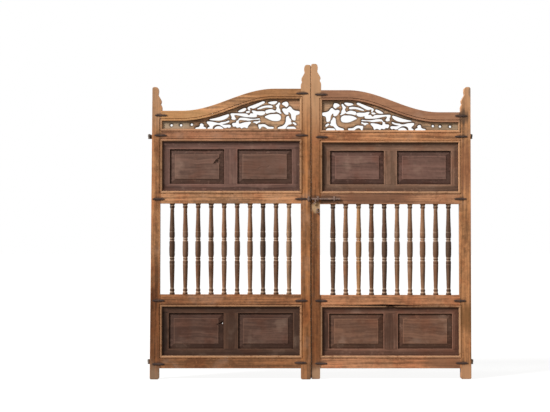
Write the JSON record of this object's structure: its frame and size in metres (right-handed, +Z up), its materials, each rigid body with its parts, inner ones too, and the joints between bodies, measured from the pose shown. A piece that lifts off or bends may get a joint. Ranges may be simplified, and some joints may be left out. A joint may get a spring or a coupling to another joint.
{
  "type": "pair of wood and iron gate leaves",
  "caption": "Pair of old wooden gate leaves with a curved top, pierced bird carving, raised panels, turned spindles, forged cramps, a sliding latch and a pull ring, hung on pintles.",
  "frame": {"origin": "on the floor, midway between the two leaves and midway in depth", "axes": "+X along the width to the viewer's right, +Y from the front to the back, +Z up"},
  "size_m": [2.4, 0.07, 2.32],
  "materials": {
    "teak_frame": "old oiled and worn",
    "teak_panel": "dark, worn old stain",
    "teak_turned": "turned, worn old stain",
    "forged_iron": "forged, dark and rusty"
  },
  "bodies": {
    "pintles": {"left_pintles": "forged_iron", "right_pintles": "forged_iron"},
    "left_leaf": {"left_outer_stile": "teak_frame", "left_inner_stile": "teak_frame", "left_top_rail": "teak_frame", "left_waist_rail": "teak_frame", "left_head_rail": "teak_frame", "left_foot_rail": "teak_frame", "left_bottom_rail": "teak_frame", "left_fretwork": "teak_frame", "left_upper_panel_frame": "teak_panel", "left_upper_panel_outer": "teak_panel", "left_upper_panel_inner": "teak_panel", "left_lower_panel_frame": "teak_panel", "left_lower_panel_outer": "teak_panel", "left_lower_panel_inner": "teak_panel", "left_iron_cramps": "forged_iron", "left_hinge_eyes": "forged_iron", "left_spindle_1": "teak_turned", "left_spindle_2": "teak_turned", "left_spindle_3": "teak_turned", "left_spindle_4": "teak_turned", "left_spindle_5": "teak_turned", "left_spindle_6": "teak_turned", "left_spindle_7": "teak_turned", "left_spindle_8": "teak_turned", "left_spindle_9": "teak_turned", "left_spindle_10": "teak_turned", "bolt_keeper": "forged_iron"},
    "right_leaf": {"right_outer_stile": "teak_frame", "right_inner_stile": "teak_frame", "right_top_rail": "teak_frame", "right_waist_rail": "teak_frame", "right_head_rail": "teak_frame", "right_foot_rail": "teak_frame", "right_bottom_rail": "teak_frame", "right_fretwork": "teak_frame", "right_upper_panel_frame": "teak_panel", "right_upper_panel_outer": "teak_panel", "right_upper_panel_inner": "teak_panel", "right_lower_panel_frame": "teak_panel", "right_lower_panel_outer": "teak_panel", "right_lower_panel_inner": "teak_panel", "right_iron_cramps": "forged_iron", "right_hinge_eyes": "forged_iron", "right_spindle_1": "teak_turned", "right_spindle_2": "teak_turned", "right_spindle_3": "teak_turned", "right_spindle_4": "teak_turned", "right_spindle_5": "teak_turned", "right_spindle_6": "teak_turned", "right_spindle_7": "teak_turned", "right_spindle_8": "teak_turned", "right_spindle_9": "teak_turned", "right_spindle_10": "teak_turned", "bolt_guides": "forged_iron", "pull_ring_eye": "forged_iron"},
    "bolt": {"latch_bolt": "forged_iron"},
    "ring": {"pull_ring": "forged_iron"}
  },
  "joints": [
    {"name": "left_swing", "type": "hinge", "parent": "pintles", "child": "left_leaf", "pos_m": [-1.19425, 0.017, 0], "axis": [0, 0, -1], "range_deg": [0, 110]},
    {"name": "right_swing", "type": "hinge", "parent": "pintles", "child": "right_leaf", "pos_m": [1.18475, 0.017, 0], "axis": [0, 0, 1], "range_deg": [0, 110]},
    {"name": "bolt_slide", "type": "slide", "parent": "right_leaf", "child": "bolt", "axis": [-1, 0, 0], "range_m": [0, 0.03]},
    {"name": "ring_swing", "type": "hinge", "parent": "right_leaf", "child": "ring", "pos_m": [0.049, -0.026, 1.2485], "axis": [-1, 0, 0], "range_deg": [0, 110]}
  ]
}
